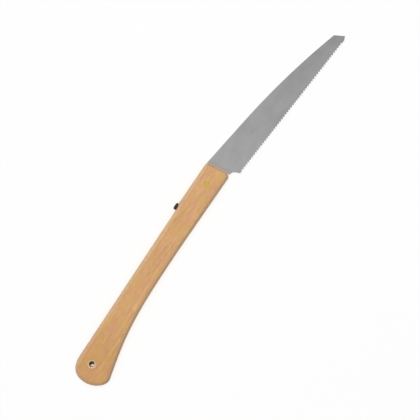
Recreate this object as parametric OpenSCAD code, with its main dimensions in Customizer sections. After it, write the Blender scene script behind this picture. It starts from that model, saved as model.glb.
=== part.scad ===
// Pull saw: a long curved wooden handle that holds a replaceable blade.
// X runs along the tang towards the tip, Y towards the spine, Z is square to the blade.
// The origin is the middle of the hang hole, half way through the handle.

/* [Handle] */
// Thickness across the flat sides
handle_t = 19; // [16:0.5:24]
// Hang hole to the front end
handle_l = 296.7; // [270:0.1:330]
// Hang hole to the end of the tail
tail_l = 24.8; // [20:0.1:30]
// Height of the spine above the hang hole at the front block
spine_front = 24.25; // [23:0.05:25.5]
// Height of the spine just behind the clamp screw
spine_rear = 22.4; // [21:0.1:23.4]
// Height of the spine beside the hang hole
spine_tail = 19.05; // [16:0.05:21]
// Depth of the belly below the hang hole at the front end
belly_front = 10.1; // [9:0.1:14]
// Depth of the belly at the waist
belly_waist = 9.5; // [8.5:0.1:12]
// Hang hole to the waist
waist_x = 199; // [170:1:220]
// Depth of the belly where the flare ends at the tail
belly_tail = 29.7; // [26:0.1:36]
// How far that end of the flare lies behind the hang hole
flare_back = 2.8; // [0:0.1:5]
// Angle of the flare
flare_angle = 14.6; // [10:0.1:18]
// Depth of the tail's end point below the hang hole
tail_drop = 3.9; // [0:0.1:8]
// Lean of the front end, belly side forward
front_lean = 6.5; // [0:0.5:10]
// Length of the step in the spine under the clamp screw
step_l = 18; // [14:0.5:24]
// Rounding of the edges, measured across the sides
edge_r = 5.5; // [4:0.1:6.5]
// Width of the flat crest that the rounding leaves
edge_crest = 1.5; // [1:0.1:3]
// Rounding of the front end's edges
front_r = 3; // [1.5:0.1:3.5]
// Corner rounding of the front end at the spine
front_spine_corner = 2; // [1:0.5:6]
// Corner rounding of the front end at the belly
front_belly_corner = 5.5; // [2:0.5:6.5]

/* [Hang hole] */
// Diameter of the hang hole
hang_d = 7; // [5:0.1:8]
// Diameter of its chamfer at the sides
hang_mouth_d = 10.6; // [9:0.1:12]

/* [Blade] */
// Thickness of the plate
blade_t = 0.9; // [0.7:0.05:1.2]
// Front end of the handle to the nose
blade_l = 230.7; // [200:0.1:260]
// Height of the spine where it leaves the handle
blade_spine = 23.7; // [21:0.1:24]
// Fall of the straight stretch of the spine
spine_fall = 7.5; // [6:0.1:8]
// Length of that straight stretch
spine_straight = 72; // [50:1:90]
// Radius of the curved stretch of the spine
spine_r = 1020; // [850:10:1200]
// Front end of the handle to the heel
heel_x = 10.6; // [9:0.1:14]
// Depth of the heel below the hang hole
heel_drop = 18.9; // [17.5:0.1:21]
// Radius of the round relief behind the heel
relief_r = 8.7; // [8:0.1:9.3]
// How far the middle of the relief lies behind the heel
relief_back = 10; // [9.6:0.1:10.6]
// How far it lies above the heel
relief_rise = 1.5; // [1:0.1:2.5]
// Fall of the tooth line
tooth_fall = 3.75; // [2.5:0.05:4.5]
// How far the end of the spine lies behind the nose
tip_slant = 7; // [4:0.5:12]
// Height of the nose above the tooth line
nose_h = 2.5; // [1.5:0.1:5]
// How far the tooth line ends behind the nose
nose_back = 5.5; // [3:0.1:8]

/* [Teeth] */
// Distance from tooth to tooth
tooth_pitch = 3.85; // [3:0.05:5]
// Depth of the gullets
tooth_depth = 1.8; // [1.5:0.1:3]
// Angle of the cutting face, which looks towards the handle
face_angle = 76; // [70:1:85]
// Flat left on each tooth's point
tooth_land = 0.25; // [0.15:0.05:0.5]
// Angle at which every gullet is filed through the plate, left and right in turn
file_angle = 30; // [0:1:35]
// Plain stretch between the heel and the first gullet
heel_plain = 3.1; // [2:0.1:8]
// Plain stretch between the last gullet and the end of the tooth line
nose_plain = 3; // [2:0.5:8]

/* [Tang and channel] */
// Height of the tang
tang_h = 10; // [8:0.5:11]
// Length of the tang behind the front end
tang_l = 90; // [82:1:100]
// Corner chamfer at the tang's tail
tang_chamfer = 2; // [1:0.5:3]
// Sheet thickness of the channel
channel_t = 1.2; // [1:0.1:1.5]
// Length of the channel's tall ears at the front
ear_l = 34; // [32:1:40]
// Height of the ears above the pin's axis
ear_h = 4.5; // [3.5:0.5:6]
// How far the low walls lie below the tang's back
wall_drop = 0.45; // [0.3:0.05:1]
// Channel left free behind the tang's tail
tail_room = 2; // [1:0.5:4]

/* [Pin and clamp screw] */
// Diameter of the brass rivet pin
pin_d = 5; // [4:0.1:5.5]
// Diameter of its flush heads
pin_head_d = 8; // [7:0.1:9]
// Thickness of its flush heads
pin_head_h = 2.2; // [1.5:0.1:3]
// Front end to the pin
pin_setback = 24.6; // [20:0.1:26]
// Height of the pin above the hang hole
pin_y = 8.2; // [7.7:0.1:8.7]
// Front end to the clamp screw
screw_setback = 70.1; // [60:0.1:75]
// Diameter of the screw's thread
screw_d = 5; // [4:0.5:5.5]
// Diameter of the pan head
head_d = 9.3; // [8:0.1:10]
// Height of the pan head
head_h = 3.7; // [2.8:0.1:4.2]
// Width of a cross recess arm
recess_w = 1.2; // [0.8:0.1:1.5]
// Span of the cross recess
recess_l = 4.9; // [3.5:0.1:5.5]
// Depth of the cross recess
recess_h = 2.1; // [1:0.1:2.4]
// Height of the spot face above the hang hole
seat_y = 22.8; // [22.2:0.1:23]
// Diameter of the spot face
seat_d = 10.6; // [10.2:0.1:11.5]
// Outer diameter of the washer
washer_d = 9; // [8.4:0.1:10]
// Thickness of the washer
washer_t = 0.5; // [0.3:0.1:0.8]
// Outer diameter of the threaded insert
insert_d = 8; // [7:0.1:8.2]
// Length of the threaded insert
insert_l = 10; // [8:0.5:12]

/* [Fits] */
// Gap between the blade's shoulders and the handle
shoulder_gap = 0.1; // [0.05:0.05:0.3]
// Gap on each side of the tang, and under it
tang_gap = 0.05; // [0.03:0.01:0.1]
// Gap between the tang's back and the pin
pin_clear = 0.15; // [0.05:0.05:0.3]
// Gap between the screw's point and the tang's back
clamp_gap = 0.05; // [0.02:0.01:0.1]
// Glue gap round the channel
glue_gap = 0.05; // [0.02:0.01:0.2]
// Gap round the rivet and the insert
press_gap = 0.02; // [0.01:0.01:0.05]
// Running gap round the screw's thread
thread_gap = 0.05; // [0.02:0.01:0.1]
// Gap between the washer and its neighbours
washer_gap = 0.02; // [0.01:0.01:0.05]
// Radial gap round the screw in the washer and below the insert
screw_gap = 0.2; // [0.1:0.05:0.3]
// Gap over the tang's back in the slot
slot_gap = 0.2; // [0.1:0.05:0.5]

/* [Hidden] */
$fn = 64;

// Overlap of a cut past the face that it opens
cut_over = 1;

// Places along X, all set out from the front end
pin_x = handle_l - pin_setback;
screw_x = handle_l - screw_setback;
tang_x = handle_l - tang_l;
channel_x = tang_x - tail_room;
ear_x = handle_l - ear_l;
nose_x = handle_l + blade_l;

// Heights of what lies along the tang
tang_top = pin_y - pin_d / 2 - pin_clear;
tang_low = tang_top - tang_h;
wall_top = tang_top - wall_drop;
ear_top = pin_y + ear_h;
web_low = tang_low - tang_gap - channel_t;
channel_w = blade_t + 2 * tang_gap + 2 * channel_t;

// Clamp screw, from its seat down to the tang's back
under_head = seat_y + washer_t + 2 * washer_gap;
screw_l = under_head - tang_top - clamp_gap;

// X of the front end's leaning line at the height y
function front_x(y) = handle_l - y * tan(front_lean);

function unit(v) = v / norm(v);

// Points of a cubic curve without its last one, so that stretches follow each other
function curve(a, b, c, d, steps) =
    [for (i = [0:steps - 1])
        let (t = i / steps, s = 1 - t)
        s * s * s * a + 3 * s * s * t * b + 3 * s * t * t * c + t * t * t * d];

// Points of a straight stretch without its last one
function stretch(a, b, steps) = [for (i = [0:steps - 1]) a + (b - a) * i / steps];

// Round corner at p, whose sides run towards a and b for the given reach
round_share = 0.45;
function corner(a, p, b, reach, steps) =
    let (u = reach * unit(a - p), v = reach * unit(b - p))
    curve(p + u, p + u * round_share, p + v * round_share, p + v, steps);

// Corners of the handle's outline, which runs counter-clockwise from the tail
step_front = [screw_x + step_l / 2, spine_front];
step_rear = [screw_x - step_l / 2, spine_rear];
spine_end = [0, spine_tail];
spine_dir = unit(spine_end - step_rear);
tail_end = [-tail_l, -tail_drop];
flare_dir = [cos(flare_angle), sin(flare_angle)];
flare_end = [-flare_back, -belly_tail];
waist = [waist_x, -belly_waist];
front_low = [front_x(-belly_front), -belly_front];
front_high = [front_x(spine_front), spine_front];

// Reaches of the curves, along the direction in which each end sets out
tail_top_reach = 17.5;
tail_up_reach = 14;
tail_down_reach = 14;
flare_tail_reach = 11;
flare_reach = 62;
waist_reach = 120;

// Steps along each stretch. Belly and spine have equally many from the tail to the front's middle.
tail_steps = 16;
grip_steps = 24;
block_steps = 16;
step_steps = 10;
corner_steps = 8;
front_steps = 4;
front_dir = unit(front_high - front_low);
belly_dir = unit(front_low - waist);

handle_outline = concat(
    curve(tail_end, tail_end - [0, tail_down_reach],
          flare_end - flare_dir * flare_tail_reach, flare_end, tail_steps),
    curve(flare_end, flare_end + flare_dir * flare_reach,
          waist - [waist_reach, 0], waist, grip_steps),
    stretch(waist, front_low - belly_dir * front_belly_corner, block_steps),
    corner(waist, front_low, front_high, front_belly_corner, corner_steps),
    stretch(front_low + front_dir * front_belly_corner,
            front_high - front_dir * front_spine_corner, front_steps),
    corner(front_low, front_high, step_front, front_spine_corner, corner_steps),
    stretch(front_high - [front_spine_corner, 0], step_front, block_steps - step_steps),
    curve(step_front, step_front - [step_l / 2, 0],
          step_rear - spine_dir * step_l / 2, step_rear, step_steps),
    stretch(step_rear, spine_end, grip_steps),
    curve(spine_end, spine_end + spine_dir * tail_top_reach,
          tail_end + [0, tail_up_reach], tail_end, tail_steps));

// Rounding of the edges: height above the middle plane and inset of the outline at a turn of it
function round_z(turn) = edge_crest / 2 + (handle_t - edge_crest) / 2 * sin(turn);
function round_in(turn) = edge_r * (1 - cos(turn));

// Inset of the front end at the height z above the middle plane
function front_in(z) =
    let (over = max(0, z - handle_t / 2 + front_r))
    front_r - sqrt(max(0, front_r * front_r - over * over));

// How far the front end's inset fades out along spine and belly, and theirs along the front end
front_reach = 8;
side_reach = 15;
function fade(d, reach) = let (s = max(0, 1 - d / reach)) s * s;

// Outline point p with its inward direction, drawn in by the sides' inset and the front end's
function drawn_in(p, into, side_inset, front_inset) =
    let (back = front_x(p[1]) - p[0],
         share = fade(back, front_reach),
         lift = side_inset * (fade(p[1] + belly_front, side_reach)
                              - fade(spine_front - p[1], side_reach)))
    back < front_reach ? p + [-share * (front_inset + lift * tan(front_lean)), lift]
                       : p + into * side_inset;

// Unit vector into the handle at point i of the outline
function inward(pts, i) =
    let (n = len(pts), a = pts[(i + n - 1) % n], b = pts[i], c = pts[(i + 1) % n])
    let (d = unit(unit(b - a) + unit(c - b)))
    [-d[1], d[0]];

// Handle solid: rings of the outline, drawn in towards both flat sides
round_steps = 6;
module handle_body() {
    n = len(handle_outline);
    rings = 2 * round_steps + 2;
    points = [for (j = [0:rings - 1]) for (i = [0:n - 1])
        let (side = j <= round_steps ? -1 : 1,
             turn = 90 * (side < 0 ? round_steps - j : j - round_steps - 1) / round_steps,
             z = round_z(turn),
             q = drawn_in(handle_outline[i], inward(handle_outline, i), round_in(turn), front_in(z)))
        [q[0], q[1], side * z]];
    walls = [for (j = [0:rings - 2]) for (i = [0:n - 1])
        let (k = (i + 1) % n, a = j * n + i, b = a + n, c = (j + 1) * n + k, d = j * n + k)
        each [[a, b, c], [a, c, d]]];
    sides = [for (k = [0:n / 2 - 1])
        let (a = k, b = k + 1, c = n - k - 1, d = (n - k) % n)
        each concat(b == c ? [] : [[a, b, c]], a == d ? [] : [[a, c, d]])];
    top = (rings - 1) * n;
    high_side = [for (f = sides) [top + f[2], top + f[1], top + f[0]]];
    polyhedron(points, concat(walls, sides, high_side));
}

module hang_hole() {
    mouth_h = (hang_mouth_d - hang_d) / 2;
    cylinder(d = hang_d, h = handle_t + 2 * cut_over, center = true);
    for (side = [0, 1])
        mirror([0, 0, side])
            translate([0, 0, handle_t / 2 - mouth_h])
                cylinder(d1 = hang_d, d2 = hang_mouth_d + 2 * cut_over, h = mouth_h + cut_over);
}

// Slot for the channel, open at the front end
module channel_slot() {
    slot_w = channel_w + 2 * glue_gap;
    low = web_low - glue_gap;
    top = tang_top + slot_gap;
    linear_extrude(slot_w, center = true)
        polygon([[channel_x - glue_gap, low],
                 [nose_x, low],
                 [nose_x, ear_top + glue_gap],
                 [ear_x - glue_gap, ear_top + glue_gap],
                 [ear_x - glue_gap, top],
                 [channel_x - glue_gap, top]]);
}

// A round of diameter d along Y from height y to height top, on the screw's axis
module on_screw_axis(d, y, top) {
    translate([screw_x, y, 0])
        rotate([-90, 0, 0])
            cylinder(d = d, h = top - y);
}

module screw_bore() {
    above = spine_front + cut_over;
    on_screw_axis(seat_d, seat_y, above);
    on_screw_axis(insert_d + 2 * press_gap, seat_y - washer_gap - insert_l, above);
    on_screw_axis(screw_d + 2 * screw_gap, tang_top, above);
}

// Rivet through handle and channel, grown by gap all round and drawn past the sides by over
module rivet(gap, over) {
    translate([pin_x, pin_y, 0]) {
        cylinder(d = pin_d + 2 * gap, h = handle_t, center = true);
        for (side = [0, 1])
            mirror([0, 0, side])
                translate([0, 0, handle_t / 2 - pin_head_h - gap])
                    cylinder(d = pin_head_d + 2 * gap, h = pin_head_h + gap + over);
    }
}

module handle() {
    color([0.82, 0.63, 0.43])
        difference() {
            handle_body();
            hang_hole();
            channel_slot();
            screw_bore();
            rivet(press_gap, cut_over);
        }
}

// Tooth line: its direction, and its point at the distance u from the heel
heel = [handle_l + heel_x, -heel_drop];
tooth_dir = [cos(tooth_fall), -sin(tooth_fall)];
tooth_up = [sin(tooth_fall), cos(tooth_fall)];
tooth_line_l = (nose_x - nose_back - heel[0]) / cos(tooth_fall);
tooth_end = heel + tooth_dir * tooth_line_l;
gullets = floor((tooth_line_l - heel_plain - nose_plain) / tooth_pitch);

// Spine: straight from the handle, then an arc down to the clipped tip
blade_high = [front_x(blade_spine) + shoulder_gap, blade_spine];
arc_start = blade_high + spine_straight * [cos(spine_fall), -sin(spine_fall)];
arc_angle = asin(sin(spine_fall) + (nose_x - tip_slant - arc_start[0]) / spine_r);
arc_steps = 14;
spine_arc = [for (i = [0:arc_steps])
    let (a = spine_fall + (arc_angle - spine_fall) * i / arc_steps)
    arc_start + spine_r * [sin(a) - sin(spine_fall), cos(a) - cos(spine_fall)]];
nose = [nose_x, tooth_end[1] - nose_back * tan(tooth_fall) + nose_h];

// Relief behind the heel: a round, and a straight flank that runs from it to the heel's point
relief_mid = heel + [-relief_back, relief_rise];
relief_reach = norm(relief_mid - heel);
flank_angle = atan2(relief_rise, -relief_back) - asin(relief_r / relief_reach);
flank_l = sqrt(relief_reach * relief_reach - relief_r * relief_r);
module relief() {
    cut_h = blade_t + 2 * cut_over;
    translate(relief_mid)
        cylinder(r = relief_r, h = cut_h, center = true);
    linear_extrude(cut_h, center = true)
        polygon([heel,
                 heel + flank_l * [cos(flank_angle), sin(flank_angle)],
                 relief_mid,
                 heel - [relief_back, cut_over]]);
}

// The plate with its tang, before the teeth are filed
module blade_plate() {
    difference() {
        linear_extrude(blade_t, center = true)
            polygon(concat(
                [[tang_x, tang_low + tang_chamfer],
                 [tang_x + tang_chamfer, tang_low],
                 [front_x(tang_low) + shoulder_gap, tang_low],
                 [front_x(-heel_drop) + shoulder_gap, -heel_drop],
                 heel, tooth_end, nose],
                [for (i = [arc_steps:-1:0]) spine_arc[i]],
                [blade_high,
                 [front_x(tang_top) + shoulder_gap, tang_top],
                 [tang_x + tang_chamfer, tang_top],
                 [tang_x, tang_top - tang_chamfer]]));
        relief();
    }
}

// One gullet: a file's notch, laid through the plate at the filing angle
mouth_w = tooth_pitch - tooth_land;
face_w = tooth_depth / tan(face_angle);
file_l = 2 * (blade_t + mouth_w);
module gullet(i) {
    slant = i % 2 == 0 ? file_angle : -file_angle;
    rise = 1 + cut_over / tooth_depth;
    notch = [[0, tooth_depth],
             [(face_w - mouth_w) * rise, tooth_depth * (1 - rise)],
             [face_w * rise, tooth_depth * (1 - rise)]];
    translate(heel + tooth_dir * (heel_plain + mouth_w - face_w + i * tooth_pitch))
        rotate([0, 0, -tooth_fall])
            rotate([0, slant, 0])
                linear_extrude(file_l, center = true)
                    polygon([for (p = notch) [p[0] * cos(slant), p[1]]]);
}

module blade() {
    color([0.62, 0.63, 0.64])
        difference() {
            blade_plate();
            for (i = [0:gullets - 1])
                gullet(i);
        }
}

// Folded channel: its section across the tang, with the bends at the web
module channel_section() {
    h = ear_top - web_low;
    difference() {
        union() {
            translate([-channel_w / 2, channel_t])
                square([channel_w, h - channel_t]);
            translate([channel_t - channel_w / 2, 0])
                square([channel_w - 2 * channel_t, h]);
            for (side = [-1, 1])
                translate([side * (channel_w / 2 - channel_t), channel_t])
                    circle(channel_t);
        }
        translate([-blade_t / 2 - tang_gap, channel_t])
            square([blade_t + 2 * tang_gap, h]);
    }
}

// Side view of the channel, with tall ears for the pin and low walls behind them
module channel_side() {
    slope = ear_top - wall_top;
    polygon([[channel_x, web_low],
             [front_x(web_low), web_low],
             [front_x(ear_top), ear_top],
             [ear_x + slope, ear_top],
             [ear_x, wall_top],
             [channel_x, wall_top]]);
}

module tang_channel() {
    color([0.55, 0.57, 0.6])
        difference() {
            intersection() {
                translate([channel_x, web_low, 0])
                    rotate([0, 90, 0])
                        linear_extrude(nose_x - channel_x)
                            channel_section();
                linear_extrude(2 * channel_w, center = true)
                    channel_side();
            }
            rivet(press_gap, 0);
        }
}

module channel_pin() {
    color([0.83, 0.69, 0.32])
        rivet(0, 0);
}

module threaded_insert() {
    top = seat_y - washer_gap;
    color([0.72, 0.72, 0.7])
        difference() {
            on_screw_axis(insert_d, top - insert_l, top);
            on_screw_axis(screw_d + 2 * thread_gap, top - insert_l - cut_over, top + cut_over);
        }
}

module screw_washer() {
    low = seat_y + washer_gap;
    color([0.14, 0.14, 0.14])
        difference() {
            on_screw_axis(washer_d, low, low + washer_t);
            on_screw_axis(screw_d + 2 * screw_gap, low - cut_over, low + washer_t + cut_over);
        }
}

// Clamp screw, turned about its axis and stood on its point
point_chamfer = 0.6;
crown = 0.5;
head_corner = 1.2;
module clamp_screw() {
    rim = head_d / 2;
    shoulder = screw_l + head_h - crown - head_corner;
    outline = concat(
        [[0, 0],
         [screw_d / 2 - point_chamfer, 0],
         [screw_d / 2, point_chamfer],
         [screw_d / 2, screw_l],
         [rim, screw_l]],
        [for (i = [0:corner_steps])
            let (a = 90 * i / corner_steps)
            [rim - head_corner + head_corner * cos(a), shoulder + head_corner * sin(a)]],
        [[0, screw_l + head_h]]);
    color([0.12, 0.12, 0.12])
        translate([screw_x, under_head - screw_l, 0])
            rotate([-90, 0, 0])
                difference() {
                    rotate_extrude()
                        polygon(outline);
                    for (turn = [0, 90])
                        rotate([0, 0, turn])
                            translate([-recess_l / 2, -recess_w / 2, screw_l + head_h - recess_h])
                                cube([recess_l, recess_w, recess_h + cut_over]);
                }
}

handle();
blade();
tang_channel();
channel_pin();
threaded_insert();
screw_washer();
clamp_screw();
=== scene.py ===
"""Looks of the pull saw: varnished wood, ground steel, brass and a black clamp screw."""

from math import pi, radians

import bmesh
import bpy
from mathutils import Matrix, Vector


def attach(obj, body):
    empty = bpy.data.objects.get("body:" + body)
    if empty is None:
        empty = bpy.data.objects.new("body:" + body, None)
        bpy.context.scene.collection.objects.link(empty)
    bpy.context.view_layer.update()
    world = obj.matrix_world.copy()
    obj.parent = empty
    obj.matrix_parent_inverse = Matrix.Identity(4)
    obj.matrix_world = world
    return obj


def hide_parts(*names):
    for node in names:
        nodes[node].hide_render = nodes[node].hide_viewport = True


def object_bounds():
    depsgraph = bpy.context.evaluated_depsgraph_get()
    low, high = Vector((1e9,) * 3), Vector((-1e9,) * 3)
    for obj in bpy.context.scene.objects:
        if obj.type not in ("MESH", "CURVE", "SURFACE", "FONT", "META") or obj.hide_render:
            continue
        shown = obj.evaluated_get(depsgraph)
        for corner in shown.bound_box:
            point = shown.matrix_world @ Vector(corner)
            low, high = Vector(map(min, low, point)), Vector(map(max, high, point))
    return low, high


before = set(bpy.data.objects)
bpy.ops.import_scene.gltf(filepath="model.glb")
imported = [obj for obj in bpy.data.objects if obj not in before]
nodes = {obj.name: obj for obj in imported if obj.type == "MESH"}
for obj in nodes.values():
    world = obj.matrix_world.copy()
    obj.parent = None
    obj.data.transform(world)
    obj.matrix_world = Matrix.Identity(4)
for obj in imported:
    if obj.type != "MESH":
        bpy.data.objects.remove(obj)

cad_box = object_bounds()

# Places and sizes of the handle, rivet and blade, in metres, as in the part's source
HANG_R = 0.0035
HANG_MOUTH_R = 0.0053
RIVET_X = 0.2721
RIVET_Y = 0.0082
RIVET_R = 0.004
FRONT_X = 0.2967
FRONT_LEAN = 0.114
NOSE_X = 0.5274

# The clamp screw. Its heights count from the underside of its head
SCREW_X = 0.2266
UNDER_HEAD_Y = 0.02334
SCREW_POINT_Y = 0.0056
SHANK_L = UNDER_HEAD_Y - SCREW_POINT_Y
SHANK_STEPS = 32
POINT_CHAMFER = 0.0004
HEAD_R = 0.00465
HEAD_TOP = 0.00362
HEAD_SIDE = HEAD_TOP - 0.0009
HEAD_ROUND = 0.0011
HEAD_STEPS = 48
CROWN_R = HEAD_R * 0.72
CROWN = HEAD_TOP - 0.00035
CROSS_TOP = HEAD_TOP - 0.00005
CROSS_REACH = 0.00245
CROSS_HALF = 0.0006
CROSS_DEPTH = 0.0021
CROSS_TAPER = 0.55
THREAD_R = 0.00248
THREAD_ROOT_R = 0.00198
THREAD_SINK = 0.0001
THREAD_HALF = 0.00034
THREAD_PITCH = 0.0008
THREAD_TURNS = 21
THREAD_STEPS = 24
THREAD_START = 0.0006 - SHANK_L

# Edges sharper than these stay crisp
CRISP_SCREW = radians(40)
CRISP_WOOD = radians(35)

# The growth rings lie round a pith line below the belly, which runs slightly out of the handle
PITH_Y = -0.050
PITH_Z = -0.062
PITH_SLOPE = 0.03
RING_PITCH = 0.0026
RING_WANDER = 0.007

# Tones of the finishes
WOOD_TONES = [
    (0.34, (0.475, 0.242, 0.088)),
    (0.45, (0.572, 0.303, 0.117)),
    (0.53, (0.640, 0.352, 0.144)),
    (0.64, (0.725, 0.427, 0.195)),
]
WARM_WOOD = (0.63, 0.290, 0.140)
HONEY_WOOD = (0.60, 0.360, 0.085)
FLECK_BROWN = (0.40, 0.205, 0.085)
HANDLED_WOOD = (0.50, 0.265, 0.092)
PALE_WOOD = (0.67, 0.405, 0.235)
FRONT_WOOD = (0.70, 0.430, 0.240)
SANDED_WOOD = (0.55, 0.360, 0.170)
END_GRAIN = (0.36, 0.200, 0.095)
RIM_SHADE = (0.42, 0.215, 0.080)
BARE_WOOD = (0.90, 0.69, 0.46)
BORE_SHADE = (0.22, 0.090, 0.022)
BRASS_STAIN = (0.62, 0.420, 0.090)
WOOD_DUST_AND_LIGHT = (0.500, 0.405, 0.315)
BLADE_TONES = [
    (0.10, (0.282, 0.283, 0.285)),
    (0.50, (0.404, 0.404, 0.406)),
    (0.90, (0.500, 0.500, 0.501)),
]
FILED_STEEL = (0.50, 0.50, 0.49)
CHANNEL_TONES = [(0.3, (0.36, 0.37, 0.39)), (0.7, (0.47, 0.48, 0.50))]
ZINC_TONES = [(0.3, (0.50, 0.50, 0.49)), (0.7, (0.64, 0.64, 0.62))]
BRASS_TONES = [(0.3, (0.57, 0.395, 0.100)), (0.7, (0.69, 0.480, 0.132))]
DULL_BRASS = (0.56, 0.350, 0.110)
OXIDE_TONES = [(0.3, (0.012, 0.011, 0.010)), (0.7, (0.030, 0.028, 0.026))]
FLOOR_PALE = (0.93, 0.93, 0.93)
FLOOR_BOUNCE = [(0.0, (0.95, 0.95, 0.95)), (1.0, (0.5, 0.5, 0.5))]
WOOD_BOUNCE_ON_FLOOR = (1.0, 0.78, 0.54)
WOOD_BOUNCE_IN_GLOW = [(0.0, (1.0, 1.0, 1.0)), (1.0, (1.0, 0.86, 0.68))]

# Depths of the bumps, in metres
WOOD_RELIEF = 0.00006
BLADE_RELIEF = 0.000012
FINE_RELIEF = 0.00001

# How the camera frames the saw
FRAME_SIDE = 0.5359
FRAME_MIDDLE = Vector((0.24701, -0.01356, 0.0))
TANG_ANGLE = radians(55.683)
CAMERA_DISTANCE = 4.0

# The floor, and the shares of white glow and of soft light from the room
FLOOR_X = 0.25
FLOOR_HALF = 6.0
SHADOW_REACH = 0.03
GLOW_SHOWN = 0.92
GLOW_IN_GLOSS = 0.9
ROOM_LIGHT = 0.26
LESS_AT_SPINE = 0.10
LESS_OVERHEAD = 0.9


class Shade:
    """An output socket of a node tree. Arithmetic on it adds Math nodes."""

    def __init__(self, tree, socket=None):
        self.tree = tree
        self.socket = socket

    def node(self, kind, settings=None, sockets=None, out=None):
        """Adds a node, its settings first and then its sockets, and gives one of its outputs."""
        made = self.tree.nodes.new("ShaderNode" + kind)
        for name, value in (settings or {}).items():
            if name == "stops":
                ramp = made.color_ramp.elements
                while len(ramp) < len(value):
                    ramp.new(1.0)
                for stop, (place, colour) in zip(ramp, value):
                    stop.position = place
                    stop.color = (*colour, 1.0)
            else:
                setattr(made, name, value)
        for name, value in (sockets or {}).items():
            if isinstance(name, int):
                entry = made.inputs[name]
            else:
                entry = next(s for s in made.inputs if s.enabled and s.name == name)
            if isinstance(value, Shade):
                self.tree.links.new(value.socket, entry)
            else:
                entry.default_value = value
        exits = [s for s in made.outputs if s.enabled and out in (None, s.name)]
        return Shade(self.tree, exits[0])

    def math(self, operation, *values):
        return self.node("Math", {"operation": operation}, dict(enumerate(values)))

    def __add__(self, other):
        return self.math("ADD", self, other)

    def __radd__(self, other):
        return self.math("ADD", other, self)

    def __sub__(self, other):
        return self.math("SUBTRACT", self, other)

    def __rsub__(self, other):
        return self.math("SUBTRACT", other, self)

    def __mul__(self, other):
        return self.math("MULTIPLY", self, other)

    def __rmul__(self, other):
        return self.math("MULTIPLY", other, self)

    def __truediv__(self, other):
        return self.math("DIVIDE", self, other)

    def __rtruediv__(self, other):
        return self.math("DIVIDE", other, self)

    def __abs__(self):
        return self.math("ABSOLUTE", self)

    def rise(self, low, high):
        """0 below low, 1 above high, and a smooth rise between them."""
        return self.node(
            "MapRange",
            {"interpolation_type": "SMOOTHSTEP"},
            {"Value": self, "From Min": low, "From Max": high},
        )

    def ramp(self, stops):
        return self.node("ValToRGB", {"stops": stops}, {"Fac": self}, "Color")

    def tint(self, colour, share):
        """This colour, mixed with another one by share."""
        return self.node(
            "Mix",
            {"data_type": "RGBA"},
            {"Factor": share, "A": self, "B": (*colour, 1.0)},
            "Result",
        )

    def parts(self):
        """The x, y and z of a vector."""
        split = self.node("SeparateXYZ", sockets={"Vector": self}).socket.node
        return [Shade(self.tree, s) for s in split.outputs]


def finish_of(name):
    """A new material, its Principled shader, and the start of its nodes."""
    made = bpy.data.materials.new(name)
    made.use_nodes = True
    return made, made.node_tree.nodes["Principled BSDF"], Shade(made.node_tree)


def wire(shader, **sockets):
    """Sets or links the shader's sockets, named with _ for a space."""
    for name, value in sockets.items():
        entry = shader.inputs[name.replace("_", " ")]
        if isinstance(value, Shade):
            value.tree.links.new(value.socket, entry)
        else:
            entry.default_value = value


def apart(a, b, a_middle, b_middle):
    """Distance from a line square to the plane of two axes."""
    a, b = a - a_middle, b - b_middle
    return a.math("SQRT", a * a + b * b)


def streaks(spot, scale, detail=3.0, rough=0.55, shift=0.0):
    """Noise with its own scale along each axis, from 0 to 1."""
    laid = spot.node(
        "Mapping", sockets={"Vector": spot, "Location": (shift, shift, shift), "Scale": scale}
    )
    return spot.node(
        "TexNoise",
        sockets={"Vector": laid, "Scale": 1.0, "Detail": detail, "Roughness": rough},
        out="Fac",
    )


def raised(height, depth):
    """A Bump node's normal for a height from 0 to 1 and a depth in metres."""
    return height.node("Bump", sockets={"Height": height, "Distance": depth}, out="Normal")


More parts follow.
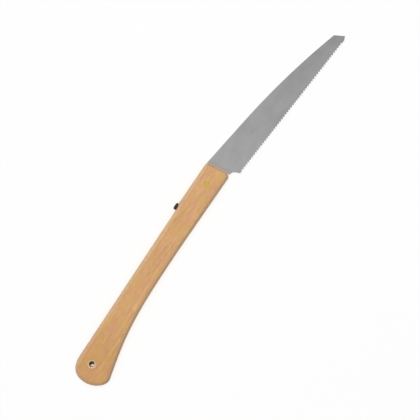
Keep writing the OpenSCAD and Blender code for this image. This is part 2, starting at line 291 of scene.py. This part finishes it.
def varnished_wood():
    made, shader, start = finish_of("varnished_wood")
    spot = start.node("TexCoord", out="Object")
    x, y, z = spot.parts()

    wander = streaks(spot, (9, 70, 70), detail=2.0)
    from_pith = apart(y - x * PITH_SLOPE, z, PITH_Y, PITH_Z) + (wander - 0.5) * RING_WANDER
    ring = start.math("FRACT", from_pith / RING_PITCH)
    late_wood = ring.rise(0.2, 0.9) * (1 - ring.rise(0.9, 1.0))

    # Streaks along the grain, from single fibres to broad bands, and short dark flecks
    fibres = streaks(spot, (45, 2300, 2300), detail=4.0, rough=0.6)
    bands = streaks(spot, (40, 330, 330), shift=3.0)
    broad = streaks(spot, (28, 110, 110), detail=2.0, rough=0.5, shift=7.0)
    figure = streaks(spot, (150, 400, 400), detail=2.0, rough=0.5, shift=13.0)
    flecks = streaks(spot, (330, 3600, 900), detail=1.0, rough=0.5, shift=11.0).rise(0.66, 0.74)
    grain = bands * 0.34 + broad * 0.34 + figure * 0.36 + fibres * 0.40
    colour = (grain - 0.21 - late_wood * 0.08).ramp(WOOD_TONES)

    # The hue drifts between warm and honey
    warm = streaks(spot, (52, 95, 95), detail=2.0, rough=0.5, shift=17.0)
    colour = colour.tint(WARM_WOOD, warm.rise(0.46, 0.63) * 0.57)
    honey = streaks(spot, (46, 88, 88), detail=2.0, rough=0.5, shift=29.0)
    colour = colour.tint(HONEY_WOOD, honey.rise(0.47, 0.64) * 0.62)
    colour = colour.tint(FLECK_BROWN, flecks * 0.4)

    # The tail is a little darker from the hand, and the wood grows paler towards the front
    colour = colour.tint(HANDLED_WOOD, (1 - x.rise(-0.02, 0.10)) * 0.35)
    colour = colour.tint(PALE_WOOD, x.rise(0.01, 0.10) * 0.17)
    colour = colour.tint(FRONT_WOOD, x.rise(0.20, 0.29) * 0.08)

    # The rounded edges are sanded thin, and end grain at tail and front takes the varnish darker
    lengthwise, _, sideways = start.node("TexCoord", out="Normal").parts()
    edge = 1 - abs(sideways).rise(0.75, 0.995)
    colour = colour.tint(SANDED_WOOD, edge * 0.35)
    cut_across = abs(lengthwise).rise(0.45, 0.95)
    pores = streaks(spot, (1500, 1500, 1500), detail=2.0, rough=0.6, shift=5.0).rise(0.5, 0.7)
    colour = colour.tint(END_GRAIN, cut_across * (0.1 + pores * 0.25))

    # The countersunk hang hole shows bare wood; painted shade darkens its bore and its rim
    from_hole = apart(x, y, 0.0, 0.0)
    # A thin ring of painted shade lies round the countersink's rim
    rim_shade = 1 - from_hole.rise(HANG_MOUTH_R + 0.0004, HANG_MOUTH_R + 0.0016)
    colour = colour.tint(RIM_SHADE, rim_shade * 0.5)
    bare = 1 - from_hole.rise(HANG_MOUTH_R - 0.0002, HANG_MOUTH_R + 0.0002)
    colour = colour.tint(BARE_WOOD, bare * 0.9)
    bore = 1 - from_hole.rise(HANG_R + 0.0001, HANG_R + 0.0004)
    colour = colour.tint(BORE_SHADE, bore * 0.95)

    # The wood is stained yellow round the brass rivet
    stain = 1 - apart(x, y, RIVET_X, RIVET_Y).rise(RIVET_R, RIVET_R + 0.0035)
    colour = colour.tint(BRASS_STAIN, stain * 0.4)

    wire(
        shader,
        Base_Color=colour,
        Roughness=0.44 + fibres * 0.12 + bare * 0.25 + cut_across * 0.12,
        Coat_Weight=1 - bare,
        Coat_Roughness=0.4,
        Normal=raised(fibres * 0.7 - flecks * 0.6 - late_wood * 0.3, WOOD_RELIEF),
    )
    return made


def ground_steel():
    made, shader, start = finish_of("ground_steel")
    spot = start.node("TexCoord", out="Object")
    x, y, _ = spot.parts()

    # Fine grinding lines run along the blade, over cloudy plating
    lines = streaks(spot, (40, 5200, 1), rough=0.6)
    clouds = streaks(spot, (35, 60, 1), rough=0.5, shift=2.0)
    specks = streaks(spot, (900, 900, 900), detail=2.0, rough=0.5, shift=4.0)
    # Painted shade darkens the plate towards the nose
    along = (x - FRONT_X) / (NOSE_X - FRONT_X)
    tone = lines * 0.35 + clouds * 0.45 + specks * 0.20 - along * 0.29
    colour = tone.ramp(BLADE_TONES)

    # Fine wood dust along the handle's front end, made pale as painted light in the handle's
    # shade
    ahead = x + y * FRONT_LEAN - FRONT_X
    strip = ahead.rise(-0.002, 0.0) * (1 - ahead.rise(0.0012, 0.0062))
    dust_and_light = strip * (0.75 + specks * 0.5)
    colour = colour.tint(WOOD_DUST_AND_LIGHT, dust_and_light * 0.9)

    # The filed gullets and cut edges are brighter than the plate's sides
    *_, sideways = start.node("TexCoord", out="Normal").parts()
    filed = 1 - abs(sideways).rise(0.80, 0.97)
    colour = colour.tint(FILED_STEEL, filed * 0.6)
    wire(
        shader,
        Base_Color=colour,
        Metallic=1 - dust_and_light * 0.85,
        Roughness=0.46 + lines * 0.10 - filed * 0.18 + dust_and_light * 0.3,
        Normal=raised(lines, BLADE_RELIEF),
    )
    return made


def plain_metal(name, pattern, tones, metallic, polish, spread):
    """A metal whose tone, roughness (polish and more by spread) and bump follow one pattern."""
    made, shader, start = finish_of(name)
    marks = streaks(start.node("TexCoord", out="Object"), pattern)
    wire(
        shader,
        Base_Color=marks.ramp(tones),
        Metallic=metallic,
        Roughness=polish + marks * spread,
        Normal=raised(marks, FINE_RELIEF),
    )
    return made


def sanded_brass():
    made, shader, start = finish_of("sanded_brass")
    spot = start.node("TexCoord", out="Object")
    x, y, _ = spot.parts()
    scratches = streaks(spot, (300, 6000, 6000))
    tarnish = streaks(spot, (700, 700, 700), detail=2.0, rough=0.5, shift=3.0)
    colour = (scratches * 0.5 + tarnish * 0.5).ramp(BRASS_TONES)

    # The rim is dull where the sanding ran over from the wood
    rim = apart(x, y, RIVET_X, RIVET_Y).rise(RIVET_R - 0.0014, RIVET_R)
    colour = colour.tint(DULL_BRASS, rim * 0.6)
    wire(
        shader,
        Base_Color=colour,
        Metallic=1.0,
        Roughness=0.36 + scratches * 0.2 + rim * 0.1,
        Normal=raised(scratches, FINE_RELIEF),
    )
    return made


def add_piece(name, shape, finish, body, slot, *stands_for):
    """Makes a bmesh in the saw's own place into a piece that rides on a body."""
    mesh = bpy.data.meshes.new(name)
    shape.to_mesh(mesh)
    shape.free()
    mesh.materials.append(finish)
    piece = bpy.data.objects.new(name, mesh)
    bpy.context.scene.collection.objects.link(piece)
    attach(piece, body)
    if stands_for:
        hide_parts(*stands_for)
    return piece


def smooth_up_to(shape, angle):
    """Shades a bmesh smooth, with edges sharper than the angle left crisp."""
    for face in shape.faces:
        face.smooth = True
    for edge in shape.edges:
        edge.smooth = edge.calc_face_angle(0.0) < angle


def wooden_handle():
    """The handle's own shape, with the facets of its rounding blended."""
    shape = bmesh.new()
    shape.from_mesh(nodes["handle"].data)
    bmesh.ops.remove_doubles(shape, verts=shape.verts, dist=1e-6)
    smooth_up_to(shape, CRISP_WOOD)
    piece = add_piece("wooden_handle", shape, varnished_wood(), "handle", "handle_wood", "handle")
    even = piece.modifiers.new("even_sides", "WEIGHTED_NORMAL")
    even.keep_sharp = True
    even.weight = 80


def turned(outline, steps):
    """Spins a profile of (radius, height) points round Z."""
    shape = bmesh.new()
    corners = [shape.verts.new((r, 0.0, h)) for r, h in outline]
    edges = [shape.edges.new(pair) for pair in zip(corners, corners[1:])]
    bmesh.ops.spin(
        shape, geom=corners + edges, axis=(0, 0, 1), angle=2 * pi, steps=steps, use_merge=True
    )
    bmesh.ops.remove_doubles(shape, verts=shape.verts, dist=1e-7)
    bmesh.ops.recalc_face_normals(shape, faces=shape.faces)
    return shape


def lies_on(corner, radius, height):
    """Whether a vertex lies on the circle of that radius and height round Z."""
    return abs(corner.co.xy.length - radius) < 1e-6 and abs(corner.co.z - height) < 1e-6


def cut_cross(head):
    """Closes a head's open top round a cross recess that narrows towards its floor."""
    ring = [e for e in head.edges if e.is_boundary]
    arm = ((CROSS_HALF, -CROSS_HALF), (CROSS_REACH, -CROSS_HALF), (CROSS_REACH, CROSS_HALF))
    corners = []
    for quarter in range(4):
        turn = Matrix.Rotation(quarter * pi / 2, 3, "Z")
        corners += [head.verts.new(turn @ Vector((*spot, CROSS_TOP))) for spot in arm]
    mouth = [head.edges.new(pair) for pair in zip(corners, corners[1:] + corners[:1])]
    bmesh.ops.bridge_loops(head, edges=ring + mouth)
    walls = bmesh.ops.extrude_edge_only(head, edges=mouth)["geom"]
    floor = [part for part in walls if isinstance(part, bmesh.types.BMVert)]
    bmesh.ops.scale(head, verts=floor, vec=(CROSS_TAPER, CROSS_TAPER, 1.0))
    bmesh.ops.translate(head, verts=floor, vec=(0.0, 0.0, -CROSS_DEPTH))
    bmesh.ops.holes_fill(head, edges=[e for e in head.edges if e.is_boundary])
    bmesh.ops.recalc_face_normals(head, faces=head.faces)


def pan_head():
    outline = [(0.0, 0.0), (HEAD_R, 0.0), (HEAD_R, HEAD_SIDE), (CROWN_R, CROWN)]
    head = turned(outline, HEAD_STEPS)
    rim = [e for e in head.edges if all(lies_on(v, HEAD_R, HEAD_SIDE) for v in e.verts)]
    bmesh.ops.bevel(
        head, geom=rim, offset=HEAD_ROUND, segments=5, profile=0.5, affect="EDGES", material=-1
    )
    cut_cross(head)
    return head


def shank():
    outline = [
        (0.0, -SHANK_L),
        (THREAD_ROOT_R - POINT_CHAMFER, -SHANK_L),
        (THREAD_ROOT_R, POINT_CHAMFER - SHANK_L),
        (THREAD_ROOT_R, 0.0),
        (0.0, 0.0),
    ]
    return turned(outline, SHANK_STEPS)


def thread():
    """A closed ridge that winds up the shank, with its foot sunk into it."""
    ridge = bmesh.new()
    foot = THREAD_ROOT_R - THREAD_SINK
    section = ((foot, -THREAD_HALF), (THREAD_R, 0.0), (foot, THREAD_HALF))
    corners = [ridge.verts.new((r, 0.0, THREAD_START + h)) for r, h in section]
    edges = [ridge.edges.new(pair) for pair in zip(corners, corners[1:] + corners[:1])]
    bmesh.ops.spin(
        ridge,
        geom=corners + edges,
        axis=(0, 0, 1),
        dvec=(0, 0, THREAD_PITCH / THREAD_STEPS),
        angle=2 * pi * THREAD_TURNS,
        steps=THREAD_TURNS * THREAD_STEPS,
    )
    bmesh.ops.holes_fill(ridge, edges=[e for e in ridge.edges if e.is_boundary])
    bmesh.ops.recalc_face_normals(ridge, faces=ridge.faces)
    return ridge


def add_to_screw(name, shape, black, *stands_for):
    """Lays a shape made round Z on the clamp screw's axis and adds it to the screw."""
    smooth_up_to(shape, CRISP_SCREW)
    bmesh.ops.rotate(shape, verts=shape.verts, matrix=Matrix.Rotation(-pi / 2, 3, "X"))
    bmesh.ops.translate(shape, verts=shape.verts, vec=(SCREW_X, UNDER_HEAD_Y, 0.0))
    add_piece(name, shape, black, "clamp_screw", "black_screw", *stands_for)


def give_finish(node, finish):
    nodes[node].data.materials.clear()
    nodes[node].data.materials.append(finish)


def rays_of(start):
    """Whether a ray comes from the camera, from a glossy surface or through a clear one."""
    kinds = ("Camera", "Glossy", "Transmission")
    return [start.node("LightPath", out=f"Is {kind} Ray") for kind in kinds]


def pale_floor():
    """A material that the camera and gloss see as near white, with the saw's shadow kept."""
    made, shader, start = finish_of("pale_floor")
    camera_ray, glossy_ray, clear_ray = rays_of(start)
    x, y, _ = start.node("TexCoord", out="Object").parts()
    open_sky = start.node("AmbientOcclusion", sockets={"Distance": SHADOW_REACH}, out="AO")

    # Less light comes back from the floor on the belly's side than round the spine and tail
    spine_side = y.rise(-0.05, 0.04)
    belly_side = (1 - spine_side) * x.rise(-0.06, -0.02)
    colour = belly_side.ramp(FLOOR_BOUNCE).tint(FLOOR_PALE, camera_ray)

    # Close to the handle, warm light bounced from the wood is painted on the floor and its glow
    wood_bounce = (1 - open_sky.rise(0.15, 0.80)) * (1 - x.rise(0.285, 0.30))
    colour = colour.tint(WOOD_BOUNCE_ON_FLOOR, wood_bounce * camera_ray)
    wire(shader, Base_Color=colour, Roughness=0.9, Specular_IOR_Level=0.0)

    # The white glow fades out where the saw covers the floor
    lit = Shade(made.node_tree, shader.outputs[0])
    white = start.node("Emission", sockets={"Color": wood_bounce.ramp(WOOD_BOUNCE_IN_GLOW)})
    share = (camera_ray + clear_ray) * GLOW_SHOWN + glossy_ray * spine_side * GLOW_IN_GLOSS
    factor = share * open_sky.rise(0.14, 0.34)
    mixed = start.node("MixShader", sockets={0: factor, 1: lit, 2: white})
    surface = made.node_tree.nodes["Material Output"].inputs["Surface"]
    made.node_tree.links.new(mixed.socket, surface)
    return made


def lay_floor():
    shape = bmesh.new()
    bmesh.ops.create_grid(shape, x_segments=1, y_segments=1, size=FLOOR_HALF)
    bmesh.ops.translate(shape, verts=shape.verts, vec=(FLOOR_X, 0.0, cad_box[0].z))
    mesh = bpy.data.meshes.new("floor")
    shape.to_mesh(mesh)
    shape.free()
    mesh.materials.append(pale_floor())
    floor = bpy.data.objects.new("floor", mesh)
    bpy.context.scene.collection.objects.link(floor)


def fill_room():
    """White all round for the camera and gloss. The saw gets a soft, weaker light from it."""
    world = bpy.data.worlds.new("studio")
    world.use_nodes = True
    bpy.context.scene.world = world
    start = Shade(world.node_tree)
    camera_ray, glossy_ray, clear_ray = rays_of(start)
    _, to_spine, up = start.node("TexCoord", out="Generated").parts()
    ambient = ROOM_LIGHT - to_spine.rise(-0.9, 0.7) * LESS_AT_SPINE
    ambient = ambient * (1 - up.rise(0.93, 0.98) * LESS_OVERHEAD)
    shown = camera_ray + clear_ray + glossy_ray
    background = world.node_tree.nodes["Background"]
    wire(background, Color=(1.0, 1.0, 1.0, 1.0), Strength=shown + (1 - shown) * ambient)


def area_light(name, sides, power, place):
    """A lamp of that size, in metres and watts, which looks at the saw."""
    lamp = bpy.data.lights.new(name, "AREA")
    lamp.shape = "RECTANGLE"
    lamp.size, lamp.size_y = sides
    lamp.energy = power
    hung = bpy.data.objects.new(name, lamp)
    hung.location = place
    hung.rotation_euler = (FRAME_MIDDLE - hung.location).to_track_quat("-Z", "Y").to_euler()
    hung.visible_camera = False
    bpy.context.scene.collection.objects.link(hung)
    return hung


def hang_lights():
    """A key light over the saw, a little to the spine's side, and a softbox beside the spine."""
    key = area_light("key_light", sides=(0.35, 0.35), power=51.0, place=(0.42, 0.45, 2.5))
    key.visible_glossy = False
    # The softbox shows only as a pale gloss
    softbox = area_light("spine_softbox", sides=(2.0, 0.4), power=6.0, place=(0.25, 1.4, 0.22))
    softbox.visible_diffuse = False


def set_camera():
    """Square to the saw's side, turned so that the tang runs up to the right."""
    camera = bpy.data.cameras.new("photo_camera")
    camera.lens = camera.sensor_width * CAMERA_DISTANCE / FRAME_SIDE
    stand = bpy.data.objects.new("photo_camera", camera)
    place = FRAME_MIDDLE + Vector((0.0, 0.0, CAMERA_DISTANCE))
    stand.matrix_world = Matrix.Translation(place) @ Matrix.Rotation(-TANG_ANGLE, 4, "Z")
    bpy.context.scene.collection.objects.link(stand)
    bpy.context.scene.camera = stand


wooden_handle()
black_oxide = plain_metal(
    "black_oxide", (900, 900, 900), OXIDE_TONES, metallic=0.35, polish=0.34, spread=0.2
)
add_to_screw("screw_head", pan_head(), black_oxide, "clamp_screw")
add_to_screw("screw_shank", shank(), black_oxide)
add_to_screw("screw_thread", thread(), black_oxide)
folded_steel = plain_metal(
    "folded_steel", (60, 1800, 1800), CHANNEL_TONES, metallic=1.0, polish=0.38, spread=0.15
)
zinc_plate = plain_metal(
    "zinc_plate", (500, 500, 500), ZINC_TONES, metallic=1.0, polish=0.32, spread=0.2
)
give_finish("blade", ground_steel())
give_finish("tang_channel", folded_steel)
give_finish("channel_pin", sanded_brass())
give_finish("threaded_insert", zinc_plate)
give_finish("screw_washer", black_oxide)

bpy.context.scene.view_settings.view_transform = "Standard"
lay_floor()
fill_room()
hang_lights()
set_camera()

bpy.context.view_layer.update()
